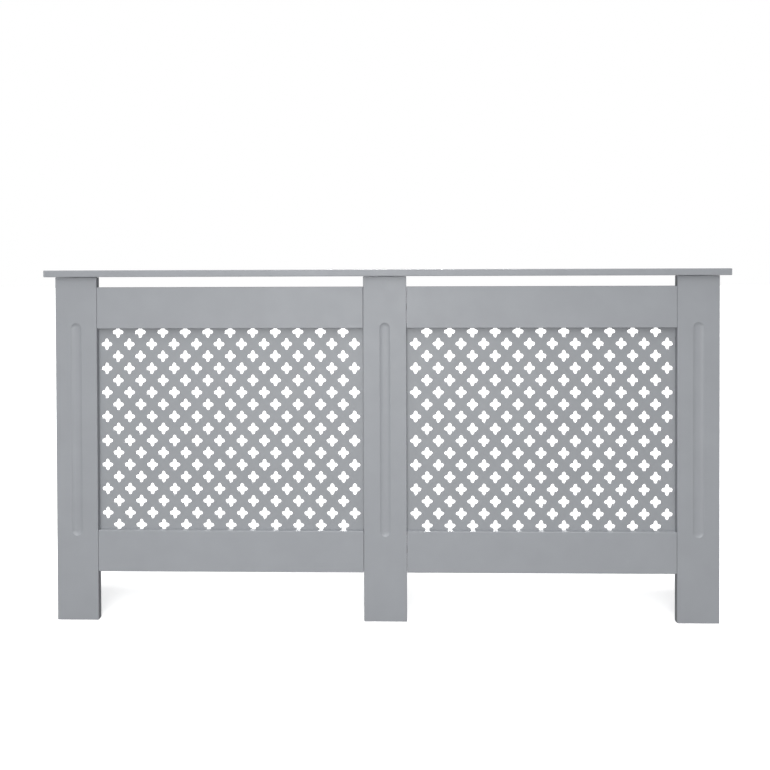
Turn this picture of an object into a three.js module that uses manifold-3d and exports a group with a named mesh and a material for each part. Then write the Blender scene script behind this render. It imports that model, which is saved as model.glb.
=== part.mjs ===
// Radiator cover cabinet: a long shelf over two pierced bays in a painted board frame, open at the back.
// Millimetres. X runs to the right, Y to the back and Z up; the origin is the middle of the base.
import * as THREE from "three";
import { mergeVertices } from "three/addons/utils/BufferGeometryUtils.js";
import Module from "manifold-3d";

// Overall size
const WIDTH = 1520;
const DEPTH = 200;
const HEIGHT = 785;

// Stock
const BOARD = 15; // fibreboard of the shelf, frame and sides
const SHEET = 3; // thin pierced sheet
const STEEL = 2; // brackets and joint plates
const EDGE = 1.5; // eased edge of a board
const FIT = 0.3; // gap between pieces that meet
const WELD = 0.0001; // corners nearer than this are one corner

// Shelf
const END_OVERHANG = 22.5;
const FRONT_OVERHANG = 9;

// Front frame
const SIDE_POST = 93;
const CENTRE_POST = 96;
const RAIL_HEIGHT = 92.5;
const TOP_AIR_GAP = 23; // open slot between the top rails and the shelf
const BOTTOM_AIR_GAP = 109.5; // open height under the bottom rails
const REBATE = 10; // how far a pierced sheet's edge lies in behind the frame

// Flutes routed down the posts
const FLUTE_WIDTH = 24;
const FLUTE_DEPTH = 3;
const FLUTE_COVE = 3; // width of the sloping side
const FLUTE_RUN_ON = 12.5; // how far a flute runs past the bay at each end
const FLUTE_END_STEPS = 3; // pairs of facets round each end
const FLUTE_OVERCUT = 1.5; // how far the cutter's straight middle reaches out of the post's face

// Pierced pattern: staggered rows of four-lobed holes
const COLUMN_PITCH = 50.8;
const ROW_SPACING = 27.2;
const HOLE_WIDTH = 25;
const HOLE_HEIGHT = 26.4;
const HOLE_NOTCH = 5.2; // how far the notch between two lobes is from the hole's two centre lines
const SIDE_MARGIN = 2; // least web between a hole and the post beside it
const RAIL_TUCK = 6; // most of an end row that may hide behind its rail
const PATTERN_SHIFT = 1.5; // the pattern lies this much nearer the side post than the centre post

// Side panels, cut away at the foot to clear a skirting board
const SKIRTING_DEPTH = 27;
const SKIRTING_HEIGHT = 163;
const SKIRTING_RADIUS = 25;
const NOTCH_STEPS = 2; // pairs of facets round the inner corner

// Dowels in the ends of the rails
const DOWEL_DIAMETER = 8;
const DOWEL_LENGTH = 30;
const DOWEL_SIDES = 8;

// Steel fittings on the hidden side
const PLATE_LENGTH = 60;
const PLATE_WIDTH = 16;
const BRACKET_LEG = 20;
const BRACKET_WIDTH = 16;
const SHELF_BRACKET_INSET = 35; // from a side panel's front edge to its first shelf bracket
const SHELF_BRACKET_SPACING = 70;
const CENTRE_BRACKET_SPREAD = 56; // between the two shelf brackets on the centre post
const WALL_BRACKET_LEG = 30;
const WALL_BRACKET_WIDTH = 40;

// Places that follow from the sizes
const SHELF_UNDERSIDE = HEIGHT - BOARD;
const BODY_TOP = SHELF_UNDERSIDE - FIT;
const BACK = DEPTH / 2;
const FRAME_FRONT = FRONT_OVERHANG - DEPTH / 2;
const FRAME_BACK = FRAME_FRONT + BOARD;
const BODY_HALF = WIDTH / 2 - END_OVERHANG;
const PANEL_INSIDE = BODY_HALF - BOARD;
const PANEL_FRONT = FRAME_BACK + FIT;
const BAY_INNER = CENTRE_POST / 2;
const BAY_OUTER = BODY_HALF - SIDE_POST;
const BAY_WIDTH = BAY_OUTER - BAY_INNER;
const BAY_CENTRE = (BAY_INNER + BAY_OUTER) / 2;
const BAY_BOTTOM = BOTTOM_AIR_GAP + RAIL_HEIGHT;
const BAY_TOP = SHELF_UNDERSIDE - TOP_AIR_GAP - RAIL_HEIGHT;
const BAY_HEIGHT = BAY_TOP - BAY_BOTTOM;
const BAY_MIDDLE = (BAY_BOTTOM + BAY_TOP) / 2;
const RAIL_MIDDLES = {
  top: BAY_TOP + RAIL_HEIGHT / 2,
  bottom: BAY_BOTTOM - RAIL_HEIGHT / 2,
};
const SIDES = { left: -1, right: 1 };

const paint = new THREE.MeshStandardMaterial({ color: 0xa3a6ac, roughness: 0.55, metalness: 0 });
const sheetPaint = new THREE.MeshStandardMaterial({ color: 0x9ea1a6, roughness: 0.6, metalness: 0 });
const beech = new THREE.MeshStandardMaterial({ color: 0xc9a878, roughness: 0.8, metalness: 0 });
const zinc = new THREE.MeshStandardMaterial({ color: 0xb4b7ba, roughness: 0.35, metalness: 1 });

const wasm = await Module();
wasm.setup();

/** A closed geometry as a solid that can be cut. */
function toSolid(geometry) {
  const bare = geometry.index ? geometry.toNonIndexed() : geometry.clone();
  bare.deleteAttribute("normal");
  bare.deleteAttribute("uv");
  const merged = mergeVertices(bare, WELD);
  return new wasm.Manifold(
    new wasm.Mesh({
      numProp: 3,
      vertProperties: merged.attributes.position.array,
      triVerts: new Uint32Array(merged.index.array),
    }),
  );
}

/** A solid as a geometry with flat faces. */
function toGeometry(solid) {
  const mesh = solid.getMesh();
  const positions = new THREE.BufferAttribute(new Float32Array(mesh.vertProperties), mesh.numProp);
  const indexed = new THREE.BufferGeometry();
  indexed.setAttribute("position", positions);
  indexed.setIndex(new THREE.BufferAttribute(mesh.triVerts, 1));
  const geometry = indexed.toNonIndexed();
  geometry.computeVertexNormals();
  return geometry;
}

/** The geometry left when each cutter is taken out of a blank. */
function cut(blank, cutters) {
  const start = toSolid(blank);
  return toGeometry(cutters.reduce((solid, cutter) => solid.subtract(toSolid(cutter)), start));
}

/** An outline, given as its corners, as a shape. */
function outline(corners) {
  return new THREE.Shape(corners.map(([x, y]) => new THREE.Vector2(x, y)));
}

/** A shape as a board with eased edges, from z = 0 to z = thickness; the shape is EDGE smaller all round. */
function easedBoard(shape, thickness, curveSegments) {
  return new THREE.ExtrudeGeometry(shape, {
    depth: thickness - 2 * EDGE,
    bevelThickness: EDGE,
    bevelSize: EDGE,
    bevelSegments: 1,
    curveSegments,
  }).translate(0, 0, EDGE);
}

/** A rectangular board with eased edges, centred on x and y. */
function rectangularBoard(width, height) {
  const x = width / 2 - EDGE;
  const y = height / 2 - EDGE;
  return easedBoard(outline([[-x, -y], [x, -y], [x, y], [-x, y]]), BOARD);
}

/** A block between two corners, used as a cutter. */
function block([x0, y0, z0], [x1, y1, z1]) {
  const box = new THREE.BoxGeometry(x1 - x0, y1 - y0, z1 - z0);
  return box.translate((x0 + x1) / 2, (y0 + y1) / 2, (z0 + z1) / 2);
}

/** A round bar along X, centred on the origin. */
function barAlongX(diameter, length) {
  const bar = new THREE.CylinderGeometry(diameter / 2, diameter / 2, length, DOWEL_SIDES);
  return bar.rotateZ(Math.PI / 2);
}

/** The hole for one dowel, reaching equally into the two boards that meet at x. */
function dowelHole(x, y) {
  return barAlongX(DOWEL_DIAMETER + 2 * FIT, DOWEL_LENGTH + 2 * FIT).translate(x, y, BOARD / 2);
}

/** The cutter for a flute: flat bottom, sloping sides and half-round ends, centred on the bay's height. */
function fluteCutter() {
  const radius = FLUTE_WIDTH / 2 - FLUTE_COVE;
  const reach = BAY_HEIGHT / 2 + FLUTE_RUN_ON - FLUTE_WIDTH / 2;
  const floor = new THREE.Shape();
  floor.absarc(0, reach, radius, 0, Math.PI);
  floor.absarc(0, -reach, radius, Math.PI, 2 * Math.PI);
  return new THREE.ExtrudeGeometry(floor, {
    depth: FLUTE_OVERCUT,
    bevelThickness: FLUTE_DEPTH,
    bevelSize: FLUTE_COVE,
    bevelSegments: 1,
    curveSegments: FLUTE_END_STEPS,
  }).translate(0, BAY_MIDDLE, BOARD);
}

/** A post, with a rebate and dowel holes in each edge that faces a bay (-1 for left, 1 for right). */
function post(width, bayEdges) {
  const blank = rectangularBoard(width, BODY_TOP).translate(0, BODY_TOP / 2, 0);
  const cutters = [fluteCutter()];
  for (const edge of bayEdges) {
    const near = edge * (width / 2 - REBATE);
    const far = edge * (width / 2 + REBATE);
    cutters.push(
      block(
        [Math.min(near, far), BAY_BOTTOM - REBATE, -SHEET],
        [Math.max(near, far), BAY_TOP + REBATE, SHEET + FIT],
      ),
    );
    for (const middle of Object.values(RAIL_MIDDLES)) {
      cutters.push(dowelHole((edge * width) / 2, middle));
    }
  }
  return cut(blank, cutters);
}

/** A rail centred on its own middle, with its rebate along the edge that faces the bay (1 up, -1 down). */
function rail(bayEdge) {
  const length = BAY_WIDTH - 2 * FIT;
  const near = bayEdge * (RAIL_HEIGHT / 2 - REBATE);
  const far = bayEdge * (RAIL_HEIGHT / 2 + REBATE);
  const rebate = block(
    [-length, Math.min(near, far), -SHEET],
    [length, Math.max(near, far), SHEET + FIT],
  );
  const holes = [dowelHole(-BAY_WIDTH / 2, 0), dowelHole(BAY_WIDTH / 2, 0)];
  return cut(rectangularBoard(length, RAIL_HEIGHT), [rebate, ...holes]);
}

/** One four-lobed hole, drawn through the tips of its lobes and the notches between them. */
function lobedHole(x, y) {
  const hole = new THREE.Path();
  const tips = [[HOLE_WIDTH / 2, 0], [0, HOLE_HEIGHT / 2], [-HOLE_WIDTH / 2, 0], [0, -HOLE_HEIGHT / 2]];
  const notches = [[1, 1], [-1, 1], [-1, -1], [1, -1]];
  const points = tips.flatMap(([tipX, tipY], i) => [
    new THREE.Vector2(x + tipX, y + tipY),
    new THREE.Vector2(x + notches[i][0] * HOLE_NOTCH, y + notches[i][1] * HOLE_NOTCH),
  ]);
  return hole.setFromPoints(points);
}

/** A pierced sheet centred on its bay, its pattern moved along X by shift. */
function piercedSheet(shift) {
  const x = BAY_WIDTH / 2 + REBATE - FIT;
  const y = BAY_HEIGHT / 2 + REBATE - FIT;
  const sheet = outline([[-x, -y], [x, -y], [x, y], [-x, y]]);
  const freeWidth = BAY_WIDTH - 2 * (SIDE_MARGIN + PATTERN_SHIFT) - HOLE_WIDTH;
  const freeHeight = BAY_HEIGHT + 2 * RAIL_TUCK - HOLE_HEIGHT;
  const columns = Math.floor(freeWidth / COLUMN_PITCH) + 1;
  const rows = Math.floor(freeHeight / ROW_SPACING) + 1;
  for (let row = 0; row < rows; row += 1) {
    const count = row % 2 === 0 ? columns - 1 : columns; // the end rows are short ones
    for (let column = 0; column < count; column += 1) {
      const holeX = shift + (column - (count - 1) / 2) * COLUMN_PITCH;
      const holeY = (row - (rows - 1) / 2) * ROW_SPACING;
      sheet.holes.push(lobedHole(holeX, holeY));
    }
  }
  return new THREE.ExtrudeGeometry(sheet, { depth: SHEET, bevelEnabled: false });
}

/** A side panel in its own plane: x runs to the back, y up, with the skirting cut-out at the back foot. */
function sidePanel() {
  const front = PANEL_FRONT + EDGE;
  const back = BACK - EDGE;
  const foot = BACK - SKIRTING_DEPTH - EDGE;
  const shoulder = SKIRTING_HEIGHT + EDGE;
  const radius = SKIRTING_RADIUS + EDGE;
  const profile = new THREE.Shape();
  profile.moveTo(front, EDGE);
  profile.lineTo(foot, EDGE);
  profile.lineTo(foot, shoulder - radius);
  profile.absarc(foot + radius, shoulder - radius, radius, Math.PI, Math.PI / 2, true);
  profile.lineTo(back, shoulder);
  profile.lineTo(back, BODY_TOP - EDGE);
  profile.lineTo(front, BODY_TOP - EDGE);
  return easedBoard(profile, BOARD, NOTCH_STEPS);
}

/** An angle bracket: one leg along +X, one along +Y, its outer corner at the origin, centred along Z. */
function angleBracket(leg, width) {
  const section = outline([[0, 0], [leg, 0], [leg, STEEL], [STEEL, STEEL], [STEEL, leg], [0, leg]]);
  const bracket = new THREE.ExtrudeGeometry(section, { depth: width, bevelEnabled: false });
  return bracket.translate(0, 0, -width / 2);
}

const cabinet = new THREE.Group();

/** Adds one named piece to a group and gives it back, to be placed. */
function add(group, name, geometry, material) {
  const piece = new THREE.Mesh(geometry, material);
  piece.name = name;
  group.add(piece);
  return piece;
}

// Shelf
const shelf = add(cabinet, "top_shelf", rectangularBoard(WIDTH, DEPTH), paint);
shelf.position.z = SHELF_UNDERSIDE;

// Front frame, drawn face on: x to the right, y up and z from the frame's back to its face
const frame = new THREE.Group();
frame.rotation.x = Math.PI / 2;
frame.position.y = FRAME_BACK;
cabinet.add(frame);

add(frame, "post_centre", post(CENTRE_POST, [-1, 1]), paint);
for (const [side, sign] of Object.entries(SIDES)) {
  const sidePost = add(frame, `post_${side}`, post(SIDE_POST, [-sign]), paint);
  sidePost.position.x = sign * (BODY_HALF - SIDE_POST / 2);

  const sheet = add(frame, `lattice_${side}`, piercedSheet(sign * PATTERN_SHIFT), sheetPaint);
  sheet.position.set(sign * BAY_CENTRE, BAY_MIDDLE, 0);

  for (const [level, middle] of Object.entries(RAIL_MIDDLES)) {
    const rebatedEdge = level === "top" ? -1 : 1;
    const crossRail = add(frame, `${level}_rail_${side}`, rail(rebatedEdge), paint);
    crossRail.position.set(sign * BAY_CENTRE, middle, 0);

    for (const [end, joint] of Object.entries({ inner: BAY_INNER, outer: BAY_OUTER })) {
      const dowelName = `dowel_${level}_${side}_${end}`;
      const dowel = add(frame, dowelName, barAlongX(DOWEL_DIAMETER, DOWEL_LENGTH), beech);
      dowel.position.set(sign * joint, middle, BOARD / 2);

      const plate = new THREE.BoxGeometry(PLATE_LENGTH, PLATE_WIDTH, STEEL);
      const jointPlate = add(frame, `joint_plate_${level}_${side}_${end}`, plate, zinc);
      jointPlate.position.set(sign * joint, middle, -FIT - STEEL / 2);
    }
  }
}

// Side panels, drawn with x to the back and y up, then stood on edge
for (const [side, sign] of Object.entries(SIDES)) {
  const panel = add(cabinet, `side_panel_${side}`, sidePanel(), paint);
  panel.rotation.set(Math.PI / 2, Math.PI / 2, 0);
  panel.position.x = sign > 0 ? PANEL_INSIDE : -BODY_HALF;
}

/** Adds an angle bracket: its outer corner at a point, its two legs along two directions. */
function addBracket(name, corner, firstLeg, secondLeg, leg, width) {
  const bracket = add(cabinet, name, angleBracket(leg, width), zinc);
  const across = new THREE.Vector3().crossVectors(firstLeg, secondLeg);
  const turn = new THREE.Matrix4().makeBasis(firstLeg, secondLeg, across);
  bracket.quaternion.setFromRotationMatrix(turn);
  bracket.position.set(...corner);
}

const DOWN = new THREE.Vector3(0, 0, -1);
const REARWARD = new THREE.Vector3(0, 1, 0);
const FORWARD = new THREE.Vector3(0, -1, 0);
const BRACKET_FRONT = FRAME_BACK + FIT;
const BRACKET_TOP = SHELF_UNDERSIDE - FIT;

for (const [side, sign] of Object.entries(SIDES)) {
  const inward = new THREE.Vector3(-sign, 0, 0);
  const cornerX = sign * (PANEL_INSIDE - FIT);

  // Side post to side panel: one at each rail and one between
  for (const [level, z] of Object.entries({ ...RAIL_MIDDLES, middle: BAY_MIDDLE })) {
    const corner = [cornerX, BRACKET_FRONT, z];
    addBracket(`corner_bracket_${side}_${level}`, corner, inward, REARWARD, BRACKET_LEG, BRACKET_WIDTH);
  }

  // Shelf to side panel
  for (const [place, step] of Object.entries({ front: 0, rear: 1 })) {
    const y = PANEL_FRONT + SHELF_BRACKET_INSET + step * SHELF_BRACKET_SPACING;
    const corner = [cornerX, y, BRACKET_TOP];
    addBracket(`shelf_bracket_${side}_${place}`, corner, inward, DOWN, BRACKET_LEG, BRACKET_WIDTH);
  }

  // Shelf to centre post
  const centreCorner = [(sign * CENTRE_BRACKET_SPREAD) / 2, BRACKET_FRONT, BRACKET_TOP];
  addBracket(`shelf_bracket_centre_${side}`, centreCorner, REARWARD, DOWN, BRACKET_LEG, BRACKET_WIDTH);
}

// Shelf to wall, hidden from the front by the centre post
addBracket("wall_bracket", [0, BACK, BRACKET_TOP], FORWARD, DOWN, WALL_BRACKET_LEG, WALL_BRACKET_WIDTH);

export default cabinet;
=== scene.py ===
import math

import bmesh
import bpy
from mathutils import Matrix, Vector


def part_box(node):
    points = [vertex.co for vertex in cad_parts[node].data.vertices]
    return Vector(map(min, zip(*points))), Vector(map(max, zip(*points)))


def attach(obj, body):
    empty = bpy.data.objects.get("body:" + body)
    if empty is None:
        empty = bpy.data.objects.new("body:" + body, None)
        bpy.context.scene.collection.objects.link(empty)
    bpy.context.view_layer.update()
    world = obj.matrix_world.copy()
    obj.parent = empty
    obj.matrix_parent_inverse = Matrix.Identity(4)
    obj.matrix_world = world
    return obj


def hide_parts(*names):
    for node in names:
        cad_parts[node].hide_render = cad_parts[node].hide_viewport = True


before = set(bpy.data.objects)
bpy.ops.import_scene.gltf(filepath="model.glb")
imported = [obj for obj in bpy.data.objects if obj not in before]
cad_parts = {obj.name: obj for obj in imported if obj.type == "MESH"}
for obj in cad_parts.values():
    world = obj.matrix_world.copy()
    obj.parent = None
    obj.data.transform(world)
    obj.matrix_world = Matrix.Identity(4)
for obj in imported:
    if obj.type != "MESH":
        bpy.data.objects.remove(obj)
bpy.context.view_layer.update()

# Radiator cover cabinet: an overhanging shelf on fluted posts and rails that frame two pierced sheets, with
# side panels cut away at the foot and an open back. Metres. X runs to the right, Y to the back and Z up.

BODY = "root"
SIDES = {"left": -1, "right": 1}
LEVELS = ("top", "bottom")
ENDS = ("inner", "outer")
MM = 0.001
Z_TO_X = Matrix.Rotation(math.pi / 2, 4, "Y")
Z_TO_Y = Matrix.Rotation(-math.pi / 2, 4, "X")

# Boards
FIT = 0.3 * MM  # gap round a piece that sits in another
EASED_EDGE = 1.5 * MM
EASED_STEPS = 3
ROUND_PROFILE = 0.5  # how a bevel says that its section is part of a circle
SHARP_ANGLE = math.radians(40)  # edges turned more than this stay crisp
EASED_ANGLE = math.radians(30)  # edges turned more than this are eased

# Flutes routed down the posts
FLUTE_WIDTH = 24 * MM
FLUTE_DEPTH = 3 * MM
FLUTE_POWER = 2.8  # 2 would be a round bottom, and a larger power is flatter in the middle
FLUTE_RUN_ON = 12.5 * MM  # how far a flute runs past the bay at each end
FLUTE_OVERCUT = 1.05  # the cutter is this many times as wide as the flute, to start in front of the face
FLUTE_END_STEPS = 20
FLUTE_RINGS = 12

# Side panels, cut away at the foot to clear a skirting board
SKIRTING_DEPTH = 27 * MM
SKIRTING_HEIGHT = 163 * MM
SKIRTING_RADIUS = 25 * MM
SKIRTING_STEPS = 12

# Pierced pattern
COLUMN_PITCH = 50.8 * MM
ROW_SPACING = 27.2 * MM
LONG_ROW = 12  # holes in every other row; the rows between have one fewer
ROWS = 17
PATTERN_SHIFT = 1.5 * MM  # the pattern lies this much nearer the side post
ACROSS_OVAL = (12.5 * MM, 5.5 * MM)  # half length and half height of the lying lobes
UPRIGHT_OVAL = (5.3 * MM, 13.2 * MM)  # half width and half height of the standing lobes
OVAL_POWER = 2.44  # 2 would be an ellipse
HOLE_POINTS = 40
HOLE_EASING = 0.3 * MM
EASING_STEPS = 2

# Dowels
DOWEL_RIDGES = 16
DOWEL_GROOVE = 0.25 * MM
DOWEL_CHAMFER = 1.2 * MM

# Steel fittings
STEEL = 2 * MM
PLATE_CORNER = 3 * MM
CORNER_STEPS = 5
BEND_RADIUS = 2.5 * MM
BEND_STEPS = 5
STEEL_EASING = 0.25 * MM
STEEL_EASING_STEPS = 1
SCREW_FROM_END = 7.5 * MM
WALL_HOLE_SPREAD = 22 * MM
HEAD_RADIUS = 3.1 * MM
HEAD_DEPTH = 1.7 * MM
HEAD_CROWN = 0.35 * MM
SHANK_RADIUS = 1.5 * MM
SHANK_LENGTH = 10 * MM
HEAD_RIM = 0.2  # height of a screw head's straight rim, as a share of the head's depth
HEAD_DOME = (0, 0.5, 1.0, 1.4)  # angles at which the domed head is drawn, in radians
SCREW_POINT_START = 0.8  # share of a shank's length at which its point starts
POINT_SHARE = 0.1  # width of a screw's or pin's point, as a share of its shank's width
ROUND_SIDES = 24  # sides of screws and of round holes
RECESS_WIDTH = 0.8 * MM
RECESS_REACH = 1.7 * MM
RECESS_DEPTH = 1.2 * MM
RECESS_FOOT = 1.2  # length of a recess at its bottom, as a share of its width

# Pins that hold the sheets
PIN_INSET = 5 * MM  # from the sheet's edge to the middle of a pin
PIN_HEAD_RADIUS = 1.3 * MM
PIN_HEAD_HEIGHT = 0.5 * MM
PIN_SHANK_RADIUS = 0.7 * MM
PIN_SHANK_LENGTH = 10 * MM
PIN_COLUMNS = (-5.5, -3.5, -1.5, 1.5, 3.5, 5.5)  # in column pitches, clear of the end rows' holes
PIN_ROWS = (-2, -1, 0, 1, 2)
PIN_ROW_SPACING = 90 * MM
PIN_POINT_START = 0.85  # share of a shank's length at which its point starts
PIN_DOME = (0, 0.5, 1.0, 1.35)  # angles at which the domed head is drawn, in radians
PIN_SIDES = 16

# Colours, linear
PAINT = (0.319, 0.332, 0.354)
# the sheets' paint is the boards' paint made a little darker: painted shade for the sheets, which sit back
# in their rebates behind the frame
SHADED_SHEET_PAINT = (0.306, 0.319, 0.338)
BEECH_LIGHT = (0.62, 0.43, 0.24)
BEECH_DARK = (0.47, 0.30, 0.15)
ZINC = (0.58, 0.60, 0.62)
BRASS = (0.72, 0.54, 0.26)
FLOOR_SEEN = (0.93, 0.93, 0.93)
FLOOR_BOUNCE = (0.3, 0.3, 0.3)  # what the floor gives back to the cabinet

# Finishes: sizes and depths of their features, and ranges of shade and roughness
MIDDLE_RANGE = (0.3, 0.7)  # where most values of a noise lie
MOTTLE_SIZE = 60 * MM
MOTTLE_SHADES = (0.975, 1.025)
GLOSS_SIZE = 25 * MM
PAINT_ROUGHNESS = (0.42, 0.52)
WAVE_SIZE = 45 * MM
WAVE_DEPTH = 0.05 * MM
PEEL_SIZE = 1.6 * MM
PEEL_DEPTH = 0.02 * MM
GRAIN_STRETCH = (0.08, 1, 1)
GRAIN_SIZE = 0.7 * MM
GRAIN_DEPTH = 0.05 * MM
BEECH_ROUGHNESS = (0.82, 0.68)  # dark grain, then light
CLOUD_SIZE = 4 * MM
CLOUD_SHADES = (0.86, 1.08)
CLOUD_GLOSS = (-0.08, 0.1)  # how far roughness strays from the metal's own
ROLLING_SIZE = 0.4 * MM
ROLLING_DEPTH = 0.01 * MM
ZINC_ROUGHNESS = 0.5
BRASS_ROUGHNESS = 0.42

# Studio
FLOOR_REACH = 40  # how far the floor runs each way
FLOOR_GLOW = 0.4  # light added to the floor as the camera sees it, to be as pale as the surroundings
SURROUNDINGS_SEEN = 1.0  # how bright the surroundings look
SURROUNDINGS_FILL = 0.15  # the even light that they give

# Camera, as the photograph's
EYE = Vector((0.0304, -1.6289, 0.7750))
LOOKS_LEFT = 0.0191  # radians, as are the next two
LOOKS_DOWN = 0.0102
LEANS_RIGHT = 0.0033
SENSOR = 36.0  # millimetres, and so is the lens
PICTURE_WIDTH = 770
FOCAL_PIXELS = 693.8
PICTURE_RISE = 104.0  # pixels by which the lens is shifted, to keep the cabinet near the middle


# ---------------------------------------------------------------- mesh helpers

def placed(axis, point, value):
    """A 3-D point: a 2-D point with its value along an axis put in (0 for x, 1 for y, 2 for z)."""
    coordinates = list(point)
    coordinates.insert(axis, value)
    return Vector(coordinates)


def rectangle(low, high):
    """The corners of a rectangle between two 2-D corners."""
    return [(low[0], low[1]), (high[0], low[1]), (high[0], high[1]), (low[0], high[1])]


def arc(centre, radius, start, end, steps):
    """Points along an arc, both ends included; angles in radians."""
    angles = (start + (end - start) * step / steps for step in range(steps + 1))
    return [(centre[0] + radius * math.cos(a), centre[1] + radius * math.sin(a)) for a in angles]


def add_rings(made, rings):
    """Adds rings of points to a bmesh, with faces between neighbours; returns each ring's vertices."""
    loops = [[made.verts.new(point) for point in ring] for ring in rings]
    for near, far in zip(loops, loops[1:]):
        for here in range(len(near)):
            there = (here + 1) % len(near)
            made.faces.new((near[here], near[there], far[there], far[here]))
    return loops


def loft(rings):
    """A closed bmesh through rings of points, capped at both ends."""
    made = bmesh.new()
    loops = add_rings(made, rings)
    made.faces.new(list(reversed(loops[0])))
    made.faces.new(loops[-1])
    bmesh.ops.recalc_face_normals(made, faces=made.faces)
    return made


def prism(outline, axis, near, far):
    """A flat outline pushed from one place to another along an axis."""
    return loft([[placed(axis, point, value) for point in outline] for value in (near, far)])


def block(low, high):
    """A box between two corners."""
    return prism(rectangle(low.xy, high.xy), 2, low.z, high.z)


def turned(profile, sides):
    """A solid turned about Z, from (radius, height) pairs; its first and last radius are above 0."""
    step = 2 * math.pi / sides
    return loft([
        [Vector((r * math.cos(i * step), r * math.sin(i * step), z)) for i in range(sides)]
        for r, z in profile
    ])


def ease(made, width, steps):
    """Rounds every crisp edge."""
    edges = [edge for edge in made.edges if edge.calc_face_angle(0) > EASED_ANGLE]
    bmesh.ops.bevel(
        made, geom=edges, offset=width, offset_type="OFFSET", segments=steps,
        profile=ROUND_PROFILE, affect="EDGES", clamp_overlap=True,
    )
    return made


def joined(parts):
    """Several bmeshes as one."""
    whole = bmesh.new()
    for part in parts:
        passing = bpy.data.meshes.new("passing")
        part.to_mesh(passing)
        part.free()
        whole.from_mesh(passing)
        bpy.data.meshes.remove(passing)
    return whole


def copy_at(made, matrix):
    """A copy of a bmesh, moved by a matrix."""
    copy = made.copy()
    copy.transform(matrix)
    return copy


def passing_object(made):
    """An object that holds a bmesh only while another is cut."""
    mesh = bpy.data.meshes.new("passing")
    made.to_mesh(mesh)
    made.free()
    holder = bpy.data.objects.new("passing", mesh)
    bpy.context.collection.objects.link(holder)
    return holder


def cut(blank, cutters):
    """The bmesh left when cutters that don't touch each other are taken out of a blank."""
    body = passing_object(blank)
    tool = passing_object(joined(cutters))
    modifier = body.modifiers.new("cut", "BOOLEAN")
    modifier.operation = "DIFFERENCE"
    modifier.solver = "EXACT"
    modifier.object = tool
    evaluated = body.evaluated_get(bpy.context.evaluated_depsgraph_get())
    left = bmesh.new()
    left.from_mesh(evaluated.to_mesh())
    evaluated.to_mesh_clear()
    for holder in (body, tool):
        mesh = holder.data
        bpy.data.objects.remove(holder)
        bpy.data.meshes.remove(mesh)
    return left


def add_piece(name, made, material, slot, *replaced):
    """Puts a bmesh in the scene as one piece that rides on the cabinet, in place of the CAD nodes named."""
    mesh = bpy.data.meshes.new(name)
    made.to_mesh(mesh)
    made.free()
    mesh.shade_smooth()
    mesh.set_sharp_from_angle(angle=SHARP_ANGLE)
    mesh.materials.append(material)
    piece = bpy.data.objects.new(name, mesh)
    bpy.context.collection.objects.link(piece)
    normals = piece.modifiers.new("flat_faces", "WEIGHTED_NORMAL")
    normals.keep_sharp = True
    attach(piece, BODY)
    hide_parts(*replaced)


# ---------------------------------------------------------------- materials

class Finish:
    """A node material under construction, with its shader and the texture coordinates that it reads."""

    def __init__(self, name):
        self.material = bpy.data.materials.new(name)
        self.material.use_nodes = True
        self.tree = self.material.node_tree
        self.shader = self.tree.nodes["Principled BSDF"]
        self.place = self.tree.nodes.new("ShaderNodeTexCoord").outputs["Object"]

    def link(self, output, node, socket):
        """Feeds an output to one socket of a node."""
        self.tree.links.new(output, node.inputs[socket])

    def stretch(self, factors):
        """From here on the textures are squeezed by these factors along X, Y and Z."""
        mapping = self.tree.nodes.new("ShaderNodeMapping")
        mapping.inputs["Scale"].default_value = factors
        self.link(self.place, mapping, "Vector")
        self.place = mapping.outputs["Vector"]

    def noise(self, size, detail):
        """Noise whose features are about size metres across."""
        node = self.tree.nodes.new("ShaderNodeTexNoise")
        node.inputs["Scale"].default_value = 1 / size
        node.inputs["Detail"].default_value = detail
        self.link(self.place, node, "Vector")
        return node.outputs["Fac"]

    def between(self, factor, low, high):
        """The factor's middle range spread from low to high."""
        node = self.tree.nodes.new("ShaderNodeMapRange")
        node.inputs["From Min"].default_value = MIDDLE_RANGE[0]
        node.inputs["From Max"].default_value = MIDDLE_RANGE[1]
        node.inputs["To Min"].default_value = low
        node.inputs["To Max"].default_value = high
        self.link(factor, node, "Value")
        return node.outputs["Result"]

    def colours(self, factor, dark, light):
        """The factor's middle range as a colour from dark to light."""
        node = self.tree.nodes.new("ShaderNodeValToRGB")
        for stop, position, colour in zip(node.color_ramp.elements, MIDDLE_RANGE, (dark, light)):
            stop.position = position
            stop.color = (*colour, 1)
        self.link(factor, node, "Fac")
        return node.outputs["Color"]

    def relief(self, height, depth, under=None):
        """A bump of that many metres, on top of another if one is given."""
        node = self.tree.nodes.new("ShaderNodeBump")
        node.inputs["Strength"].default_value = 1.0
        node.inputs["Distance"].default_value = depth
        self.link(height, node, "Height")
        if under:
            self.link(under, node, "Normal")
        return node.outputs["Normal"]


def shades(colour, factors):
    """A colour made darker or lighter by each factor."""
    return [tuple(channel * factor for channel in colour) for factor in factors]


def satin_paint(name, colour):
    """Sprayed satin paint: a faint mottle, uneven gloss, orange peel and the board's slight waviness."""
    finish = Finish(name)
    mottle = finish.noise(MOTTLE_SIZE, detail=4)
    finish.link(finish.colours(mottle, *shades(colour, MOTTLE_SHADES)), finish.shader, "Base Color")
    gloss = finish.noise(GLOSS_SIZE, detail=3)
    finish.link(finish.between(gloss, *PAINT_ROUGHNESS), finish.shader, "Roughness")
    waviness = finish.relief(finish.noise(WAVE_SIZE, detail=1), WAVE_DEPTH)
    peel = finish.relief(finish.noise(PEEL_SIZE, detail=2), PEEL_DEPTH, waviness)
    finish.link(peel, finish.shader, "Normal")
    return finish.material


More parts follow.
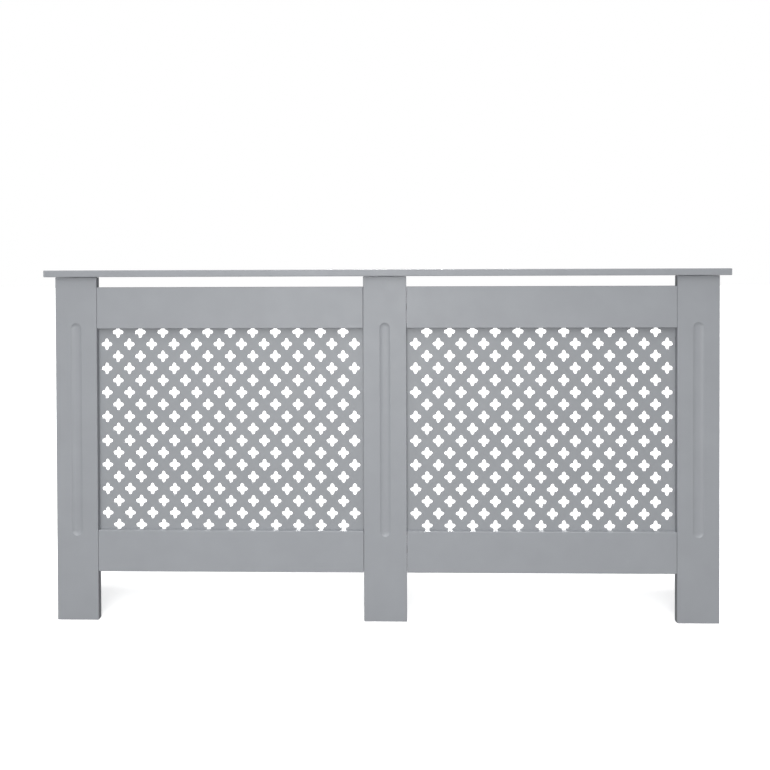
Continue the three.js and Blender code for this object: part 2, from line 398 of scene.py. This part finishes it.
def turned_beech(name):
    """Bare beech with its grain along X and short dark flecks."""
    finish = Finish(name)
    finish.stretch(GRAIN_STRETCH)
    grain = finish.noise(GRAIN_SIZE, detail=5)
    finish.link(finish.colours(grain, BEECH_DARK, BEECH_LIGHT), finish.shader, "Base Color")
    finish.link(finish.between(grain, *BEECH_ROUGHNESS), finish.shader, "Roughness")
    finish.link(finish.relief(grain, GRAIN_DEPTH), finish.shader, "Normal")
    return finish.material


def plated_metal(name, colour, roughness):
    """Plated steel: cloudy colour, uneven gloss and fine rolling marks."""
    finish = Finish(name)
    finish.shader.inputs["Metallic"].default_value = 1.0
    clouds = finish.noise(CLOUD_SIZE, detail=4)
    finish.link(finish.colours(clouds, *shades(colour, CLOUD_SHADES)), finish.shader, "Base Color")
    low, high = (roughness + stray for stray in CLOUD_GLOSS)
    finish.link(finish.between(clouds, low, high), finish.shader, "Roughness")
    rolling = finish.noise(ROLLING_SIZE, detail=3)
    finish.link(finish.relief(rolling, ROLLING_DEPTH), finish.shader, "Normal")
    return finish.material


PAINTED_BOARD = satin_paint("painted_board", PAINT)
# a darker copy of the board paint, as painted shade for the recessed sheets
SHADED_SHEET_FINISH = satin_paint("painted_sheet", SHADED_SHEET_PAINT)
BARE_BEECH = turned_beech("beech")
ZINC_PLATE = plated_metal("zinc_plate", ZINC, ZINC_ROUGHNESS)
BRASS_PLATE = plated_metal("brass_plate", BRASS, BRASS_ROUGHNESS)


# ---------------------------------------------------------------- boards

def frame_joints():
    """The level, side and end of every joint of a rail with a post."""
    return [(level, side, end) for level in LEVELS for side in SIDES for end in ENDS]


def rebate(side):
    """The cutter for the rebates round one bay: the sheet's place, a little larger and open to the back."""
    low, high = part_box(f"lattice_{side}")
    return block(low - Vector((FIT, FIT, FIT)), high + Vector((FIT, high.y - low.y, FIT)))


def dowel_hole(level, side, end):
    """The cutter for one dowel's hole."""
    low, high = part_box(f"dowel_{level}_{side}_{end}")
    middle = (low + high) / 2
    length = high.x - low.x + 2 * FIT
    radius = (high.z - low.z) / 2 + FIT
    hole = turned([(radius, -length / 2), (radius, length / 2)], ROUND_SIDES)
    hole.transform(Matrix.Translation(middle) @ Z_TO_X)
    return hole


def flute(centre_x, face_y):
    """The cutter for a flute: a shallow hollow with half-round ends, steepest at its rim."""
    bay_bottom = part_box("bottom_rail_left")[1].z
    bay_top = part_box("top_rail_left")[0].z
    half_width = FLUTE_WIDTH / 2
    low_z = bay_bottom - FLUTE_RUN_ON + half_width
    high_z = bay_top + FLUTE_RUN_ON - half_width
    rings = []
    for ring in range(FLUTE_RINGS):
        radius = half_width * FLUTE_OVERCUT * (1 - ring / FLUTE_RINGS)
        depth = FLUTE_DEPTH * (1 - (radius / half_width) ** FLUTE_POWER)
        top = arc((centre_x, high_z), radius, 0, math.pi, FLUTE_END_STEPS)
        bottom = arc((centre_x, low_z), radius, math.pi, 2 * math.pi, FLUTE_END_STEPS)
        rings.append([placed(1, point, face_y + depth) for point in top + bottom])
    return loft(rings)


def add_board(node, cutters=()):
    """A painted board with eased edges in place of a CAD node, with the cutters taken out."""
    board = ease(block(*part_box(node)), EASED_EDGE, EASED_STEPS)
    if cutters:
        board = cut(board, cutters)
    add_piece(f"board_{node}", board, PAINTED_BOARD, "painted_board", node)


def add_posts():
    """The posts, each with a flute and with rebates and dowel holes for the bays beside it."""
    side_posts = [(side, [side], "outer") for side in SIDES]
    for post, sides, end in (("centre", SIDES, "inner"), *side_posts):
        low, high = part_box(f"post_{post}")
        cutters = [flute((low.x + high.x) / 2, low.y)]
        cutters += [rebate(side) for side in sides]
        cutters += [dowel_hole(level, side, end) for level in LEVELS for side in sides]
        add_board(f"post_{post}", cutters)


def add_rails():
    """The rails above and below each bay, drilled at both ends."""
    for level in LEVELS:
        for side in SIDES:
            holes = [dowel_hole(level, side, end) for end in ENDS]
            add_board(f"{level}_rail_{side}", [rebate(side), *holes])


def add_side_panel(side):
    """A side panel, drawn with y to the back and z up."""
    low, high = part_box(f"side_panel_{side}")
    foot = high.y - SKIRTING_DEPTH
    crown = (foot + SKIRTING_RADIUS, low.z + SKIRTING_HEIGHT - SKIRTING_RADIUS)
    outline = [(low.y, low.z), (foot, low.z)]
    outline += arc(crown, SKIRTING_RADIUS, math.pi, math.pi / 2, SKIRTING_STEPS)
    outline += [(high.y, low.z + SKIRTING_HEIGHT), (high.y, high.z), (low.y, high.z)]
    panel = ease(prism(outline, 0, low.x, high.x), EASED_EDGE, EASED_STEPS)
    add_piece(f"board_side_panel_{side}", panel, PAINTED_BOARD, "painted_board", f"side_panel_{side}")


# ---------------------------------------------------------------- pierced sheets

def hole_radius(angle):
    """How far the edge of a hole is from its middle: two crossed ovals, whichever reaches further."""
    def oval(half_width, half_height):
        across = abs(math.cos(angle) / half_width) ** OVAL_POWER
        up = abs(math.sin(angle) / half_height) ** OVAL_POWER
        return (across + up) ** (-1 / OVAL_POWER)
    return max(oval(*ACROSS_OVAL), oval(*UPRIGHT_OVAL))


def pattern_middle(side):
    """The x and z of the middle of one sheet's pattern."""
    low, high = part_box(f"lattice_{side}")
    return (low.x + high.x) / 2 + SIDES[side] * PATTERN_SHIFT, (low.z + high.z) / 2


def hole_middles(side):
    """The middles of the staggered holes of one sheet, as (x, z)."""
    middle_x, middle_z = pattern_middle(side)
    middles = []
    for row in range(ROWS):
        count = LONG_ROW - 1 + row % 2
        for column in range(count):
            x = middle_x + (column - (count - 1) / 2) * COLUMN_PITCH
            middles.append((x, middle_z + (row - (ROWS - 1) / 2) * ROW_SPACING))
    return middles


def eased_levels(front, back, easing):
    """How far out and at which y each ring of an eased rim lies, from the front face to the back one."""
    quarter = arc((0, 0), easing, math.pi / 2, math.pi, EASING_STEPS)
    front_rim = [(x + easing, front + easing - y) for x, y in quarter]
    back_rim = [(grow, back - (y - front)) for grow, y in reversed(front_rim)]
    return front_rim + back_rim


def hole_rings(x, z, levels):
    """The rings of one hole's wall, from the front face to the back one."""
    rings = []
    for grow, y in levels:
        ring = []
        for i in range(HOLE_POINTS):
            angle = 2 * math.pi * i / HOLE_POINTS
            radius = hole_radius(angle) + grow
            ring.append(Vector((x + radius * math.cos(angle), y, z + radius * math.sin(angle))))
        rings.append(ring)
    return rings


def add_sheet(side):
    """A sheet pierced by its staggered holes, each with an eased rim."""
    low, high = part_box(f"lattice_{side}")
    levels = eased_levels(low.y, high.y, HOLE_EASING)
    outer = rectangle((low.x, low.z), (high.x, high.z))
    outlines = [[[placed(1, point, y) for point in outer] for y in (low.y, high.y)]]
    outlines += [hole_rings(x, z, levels) for x, z in hole_middles(side)]
    sheet = bmesh.new()
    rims = {"front": [], "back": []}
    for rings in outlines:
        loops = add_rings(sheet, rings)
        for face, loop in (("front", loops[0]), ("back", loops[-1])):
            rims[face] += [sheet.edges.get((loop[i - 1], loop[i])) for i in range(len(loop))]
    for face, normal in (("front", (0, -1, 0)), ("back", (0, 1, 0))):
        bmesh.ops.triangle_fill(sheet, use_beauty=True, edges=rims[face], normal=normal)
    bmesh.ops.recalc_face_normals(sheet, faces=sheet.faces)
    add_piece(f"sheet_{side}", sheet, SHADED_SHEET_FINISH, "painted_sheet", f"lattice_{side}")


def add_pins(side):
    """The pins round one sheet, driven from behind."""
    low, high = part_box(f"lattice_{side}")
    head = [
        (PIN_HEAD_RADIUS * math.cos(turn), PIN_HEAD_HEIGHT * math.sin(turn))
        for turn in PIN_DOME
    ]
    shank = [
        (POINT_SHARE * PIN_SHANK_RADIUS, -PIN_SHANK_LENGTH),
        (PIN_SHANK_RADIUS, -PIN_SHANK_LENGTH * PIN_POINT_START),
        (PIN_SHANK_RADIUS, 0),
    ]
    pin = turned(shank + head, PIN_SIDES)
    middle_x, middle_z = pattern_middle(side)
    places = [
        (middle_x + column * COLUMN_PITCH, z)
        for column in PIN_COLUMNS
        for z in (low.z + PIN_INSET, high.z - PIN_INSET)
    ]
    places += [
        (x, middle_z + row * PIN_ROW_SPACING)
        for row in PIN_ROWS
        for x in (low.x + PIN_INSET, high.x - PIN_INSET)
    ]
    pins = [copy_at(pin, Matrix.Translation((x, high.y, z)) @ Z_TO_Y) for x, z in places]
    pin.free()
    add_piece(f"pins_{side}", joined(pins), BRASS_PLATE, "zinc_steel")


# ---------------------------------------------------------------- dowels

def add_dowel(level, side, end):
    """A grooved dowel with chamfered ends, lying along X."""
    node = f"dowel_{level}_{side}_{end}"
    low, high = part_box(node)
    middle = (low + high) / 2
    radius = (high.z - low.z) / 2
    outline = []
    for i in range(2 * DOWEL_RIDGES):
        angle = math.pi * i / DOWEL_RIDGES
        reach = radius - DOWEL_GROOVE * (i % 2)
        outline.append((math.cos(angle) * reach, math.sin(angle) * reach))
    tip = 1 - DOWEL_CHAMFER / radius
    rings = []
    for x, size in (
        (low.x, tip), (low.x + DOWEL_CHAMFER, 1), (high.x - DOWEL_CHAMFER, 1), (high.x, tip)
    ):
        rings.append([Vector((x, middle.y + y * size, middle.z + z * size)) for y, z in outline])
    add_piece(f"turned_{node}", loft(rings), BARE_BEECH, "beech", node)


# ---------------------------------------------------------------- steel fittings

def screw():
    """A countersunk screw with a crossed recess, its head's rim at z = 0 and its shank below."""
    crown = [(HEAD_RADIUS * math.cos(turn), HEAD_CROWN * math.sin(turn)) for turn in HEAD_DOME]
    shank = [
        (POINT_SHARE * SHANK_RADIUS, -HEAD_DEPTH - SHANK_LENGTH),
        (SHANK_RADIUS, -HEAD_DEPTH - SCREW_POINT_START * SHANK_LENGTH),
        (SHANK_RADIUS, -HEAD_DEPTH),
        (HEAD_RADIUS, -HEAD_RIM * HEAD_DEPTH),
    ]
    body = turned(shank + crown, ROUND_SIDES)
    half_width = RECESS_WIDTH / 2
    foot = half_width * RECESS_FOOT
    above = 2 * HEAD_CROWN
    for turn in (0, math.pi / 2):
        arm = loft([
            [Vector((x, y, z)) for x, y in rectangle((-reach, -half_width), (reach, half_width))]
            for reach, z in ((foot, HEAD_CROWN - RECESS_DEPTH), (RECESS_REACH, above))
        ])
        arm.transform(Matrix.Rotation(turn, 4, "Z"))
        body = cut(body, [arm])
    return body


def countersink():
    """The cutter for one screw's hole through a plate whose upper face is at z = 0."""
    profile = [
        (SHANK_RADIUS + FIT, -2 * STEEL),
        (SHANK_RADIUS + FIT, -HEAD_DEPTH),
        (HEAD_RADIUS + FIT / 2, 0),
        (HEAD_RADIUS + FIT / 2, STEEL),
    ]
    return turned(profile, ROUND_SIDES)


SCREW = screw()
COUNTERSINK = countersink()


def axes(*directions):
    """The turn that takes X, Y and Z to three directions."""
    return Matrix([list(direction) for direction in directions]).transposed().to_4x4()


def plate_outline(length, width):
    """A flat plate's outline, centred, with rounded corners."""
    x = length / 2 - PLATE_CORNER
    y = width / 2 - PLATE_CORNER
    quarters = ((x, y, 0), (-x, y, 1), (-x, -y, 2), (x, -y, 3))
    outline = []
    for centre_x, centre_y, quarter in quarters:
        start = quarter * math.pi / 2
        outline += arc((centre_x, centre_y), PLATE_CORNER, start, start + math.pi / 2, CORNER_STEPS)
    return outline


def add_steel(name, plate, screw_places, hole_places, *replaced):
    """A plate with a hole at every place, and screws in those of screw_places; a place is a matrix."""
    holes = [copy_at(COUNTERSINK, place) for place in screw_places + hole_places]
    add_piece(f"steel_{name}", cut(plate, holes), ZINC_PLATE, "zinc_steel", *replaced)
    screws = [copy_at(SCREW, place) for place in screw_places]
    add_piece(f"screws_{name}", joined(screws), ZINC_PLATE, "zinc_steel")


def add_joint_plate(level, side, end):
    """A flat plate across one joint of the frame, with a screw in each board."""
    node = f"joint_plate_{level}_{side}_{end}"
    low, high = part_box(node)
    middle = (low + high) / 2
    outline = [(middle.x + x, middle.z + z) for x, z in plate_outline(high.x - low.x, high.z - low.z)]
    plate = ease(prism(outline, 1, low.y, high.y), STEEL_EASING, STEEL_EASING_STEPS)
    places = [
        Matrix.Translation((x, high.y, middle.z)) @ Z_TO_Y
        for x in (low.x + SCREW_FROM_END, high.x - SCREW_FROM_END)
    ]
    add_steel(node, plate, places, [], node)


def bracket_body(leg, width):
    """An angle bracket with a bent corner and rounded leg ends: legs along +X and +Y, centred along Z."""
    def section(inside):
        """The bracket's section with its leg ends drawn in, as they are nearer the rounded corners."""
        end = leg - inside
        bend = arc((BEND_RADIUS, BEND_RADIUS), BEND_RADIUS, 1.5 * math.pi, math.pi, BEND_STEPS)
        inner_radius = BEND_RADIUS - STEEL
        inner = arc((BEND_RADIUS, BEND_RADIUS), inner_radius, math.pi, 1.5 * math.pi, BEND_STEPS)
        return [(end, 0), *bend, (0, end), (STEEL, end), *inner, (end, STEEL)]
    half = width / 2
    corner = arc((0, 0), PLATE_CORNER, 0, math.pi / 2, CORNER_STEPS)
    upper = [(PLATE_CORNER - x, half - PLATE_CORNER + y) for x, y in corner]
    lower = [(inside, -z) for inside, z in reversed(upper)]
    return loft([[Vector((x, y, z)) for x, y in section(inside)] for inside, z in lower + upper])


def add_bracket(node, first, second, loose_leg=False):
    """An angle bracket in its CAD node's place, with legs along two directions.

    A loose second leg has holes for the wall's own screws.
    """
    low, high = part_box(node)
    across = first.cross(second)
    corner = Vector()
    for axis in range(3):
        direction = first[axis] + second[axis]
        ends = {1: low[axis], -1: high[axis], 0: (low[axis] + high[axis]) / 2}
        corner[axis] = ends[round(direction)]
    size = high - low
    leg = abs(size.dot(first))
    width = abs(size.dot(across))
    stand = Matrix.Translation(corner) @ axes(first, second, across)
    body = bracket_body(leg, width)
    body.transform(stand)
    reach = leg - SCREW_FROM_END
    spread = (-WALL_HOLE_SPREAD / 2, WALL_HOLE_SPREAD / 2) if width > leg else (0,)
    x_leg = [stand @ Matrix.Translation((reach, STEEL, z)) @ Z_TO_Y for z in spread]
    y_leg = [stand @ Matrix.Translation((STEEL, reach, z)) @ Z_TO_X for z in spread]
    if loose_leg:
        add_steel(node, body, x_leg, y_leg, node)
    else:
        add_steel(node, body, x_leg + y_leg, [], node)


def add_brackets():
    """The brackets between posts and side panels, those under the shelf and the one for the wall."""
    down = Vector((0, 0, -1))
    rearward = Vector((0, 1, 0))
    for side, sign in SIDES.items():
        inward = Vector((-sign, 0, 0))
        for level in ("top", "middle", "bottom"):
            add_bracket(f"corner_bracket_{side}_{level}", inward, rearward)
        for place in ("front", "rear"):
            add_bracket(f"shelf_bracket_{side}_{place}", inward, down)
        add_bracket(f"shelf_bracket_centre_{side}", rearward, down)
    add_bracket("wall_bracket", -rearward, down, loose_leg=True)


# ---------------------------------------------------------------- the cabinet

add_board("top_shelf")
add_posts()
add_rails()
for cabinet_side in SIDES:
    add_side_panel(cabinet_side)
    add_sheet(cabinet_side)
    add_pins(cabinet_side)
for joint in frame_joints():
    add_dowel(*joint)
    add_joint_plate(*joint)
add_brackets()
SCREW.free()
COUNTERSINK.free()


# ---------------------------------------------------------------- studio

def seen_or_given(tree, kind, seen, given):
    """A value that differs between what the camera sees and what other surfaces are given."""
    path = tree.nodes.new("ShaderNodeLightPath")
    choice = tree.nodes.new("ShaderNodeMix")
    choice.data_type = kind
    sockets = {socket.name: socket for socket in choice.inputs if socket.enabled}
    sockets["A"].default_value = given
    sockets["B"].default_value = seen
    tree.links.new(path.outputs["Is Camera Ray"], sockets["Factor"])
    return next(socket for socket in choice.outputs if socket.enabled)


def add_floor():
    """A plain pale floor."""
    corners = rectangle((-FLOOR_REACH, -FLOOR_REACH), (FLOOR_REACH, FLOOR_REACH))
    sheet = bmesh.new()
    sheet.faces.new([sheet.verts.new((x, y, 0)) for x, y in corners])
    mesh = bpy.data.meshes.new("floor")
    sheet.to_mesh(mesh)
    sheet.free()
    floor = bpy.data.objects.new("floor", mesh)
    bpy.context.collection.objects.link(floor)
    material = bpy.data.materials.new("floor")
    material.use_nodes = True
    tree = material.node_tree
    shader = tree.nodes["Principled BSDF"]
    colour = seen_or_given(tree, "RGBA", (*FLOOR_SEEN, 1), (*FLOOR_BOUNCE, 1))
    tree.links.new(colour, shader.inputs["Base Color"])
    glow = seen_or_given(tree, "FLOAT", FLOOR_GLOW, 0)
    tree.links.new(glow, shader.inputs["Emission Strength"])
    shader.inputs["Emission Color"].default_value = (1, 1, 1, 1)
    shader.inputs["Roughness"].default_value = 1.0
    shader.inputs["Specular IOR Level"].default_value = 0.0
    mesh.materials.append(material)


def add_world():
    """White surroundings."""
    world = bpy.data.worlds.new("surroundings")
    world.use_nodes = True
    tree = world.node_tree
    background = tree.nodes["Background"]
    background.inputs["Color"].default_value = (1, 1, 1, 1)
    strength = seen_or_given(tree, "FLOAT", SURROUNDINGS_SEEN, SURROUNDINGS_FILL)
    tree.links.new(strength, background.inputs["Strength"])
    bpy.context.scene.world = world


def add_sun(name, towards, strength, softness):
    """Soft parallel light that travels in a direction; softness is the angle that its source covers."""
    light = bpy.data.lights.new(name, "SUN")
    light.energy = strength
    light.angle = math.radians(softness)
    sun = bpy.data.objects.new(name, light)
    sun.rotation_euler = Vector(towards).to_track_quat("-Z", "Y").to_euler()
    bpy.context.collection.objects.link(sun)


def add_softbox(name, place, target, width, height, power):
    """A soft light at a place, facing a target."""
    light = bpy.data.lights.new(name, "AREA")
    light.shape = "RECTANGLE"
    light.size = width
    light.size_y = height
    light.energy = power
    box = bpy.data.objects.new(name, light)
    box.location = place
    box.rotation_euler = (Vector(target) - Vector(place)).to_track_quat("-Z", "Y").to_euler()
    bpy.context.collection.objects.link(box)


def add_lights():
    """Soft light from above, in front, behind and both ends."""
    add_sun("overhead", towards=(0.05, 0.18, -1), strength=1.3, softness=40)
    add_sun("slanting", towards=(0, 1, -1), strength=1.2, softness=40)
    add_sun("behind", towards=(0, -1, -0.35), strength=2.4, softness=12)
    add_softbox("front", place=(0, -2.6, 0.75), target=(0, 0, 0.4), width=1.6, height=1.6, power=24)
    add_softbox(
        "front_left", place=(-0.8, -2.6, 0.8), target=(-0.3, 0, 0.4), width=1.6, height=1.6, power=11
    )
    for side, sign in SIDES.items():
        place = (sign * 3.4, 0.2, 0.5)
        add_softbox(f"side_{side}", place, target=(0, 0.06, 0.3), width=0.4, height=0.9, power=45)


def add_camera():
    """The photograph's camera, level with the shelf and almost square to the front."""
    data = bpy.data.cameras.new("camera")
    data.sensor_width = SENSOR
    data.lens = FOCAL_PIXELS / PICTURE_WIDTH * SENSOR
    data.shift_y = -PICTURE_RISE / PICTURE_WIDTH
    camera = bpy.data.objects.new("camera", data)
    camera.location = EYE
    camera.rotation_euler = (math.pi / 2 - LOOKS_DOWN, LEANS_RIGHT, LOOKS_LEFT)
    bpy.context.collection.objects.link(camera)
    bpy.context.scene.camera = camera


add_floor()
add_world()
add_lights()
add_camera()
bpy.context.scene.view_settings.view_transform = "Standard"
